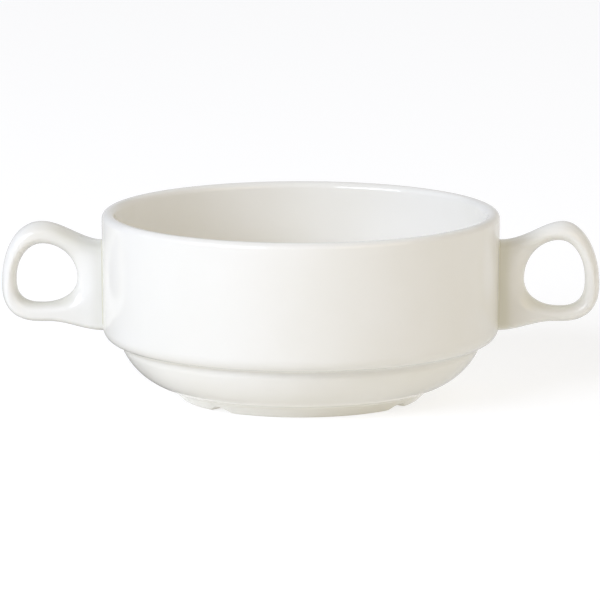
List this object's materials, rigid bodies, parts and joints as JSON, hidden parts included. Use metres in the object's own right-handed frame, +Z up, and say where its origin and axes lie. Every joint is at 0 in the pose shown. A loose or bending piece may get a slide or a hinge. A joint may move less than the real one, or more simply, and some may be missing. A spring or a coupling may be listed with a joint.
{
  "type": "bouillon cup",
  "caption": "Round stacking bouillon cup in white glazed ceramic, with straight sides, a stepped shoulder, looped side handles and a notched foot ring.",
  "frame": {"origin": "on the table, under the middle of the cup", "axes": "+Z up, the handles lie along X, -Y faces the viewer"},
  "size_m": [0.1624, 0.1082, 0.0508],
  "materials": {
    "white_glaze": "warm white gloss glaze, bare body on the foot ring's resting face",
    "glazed_slip": "warm white gloss glaze over wiped slip"
  },
  "bodies": {
    "root": {"bowl": "white_glaze", "handle_left": "white_glaze", "handle_right": "white_glaze", "slip_seam_left": "glazed_slip", "slip_seam_right": "glazed_slip"}
  },
  "joints": []
}
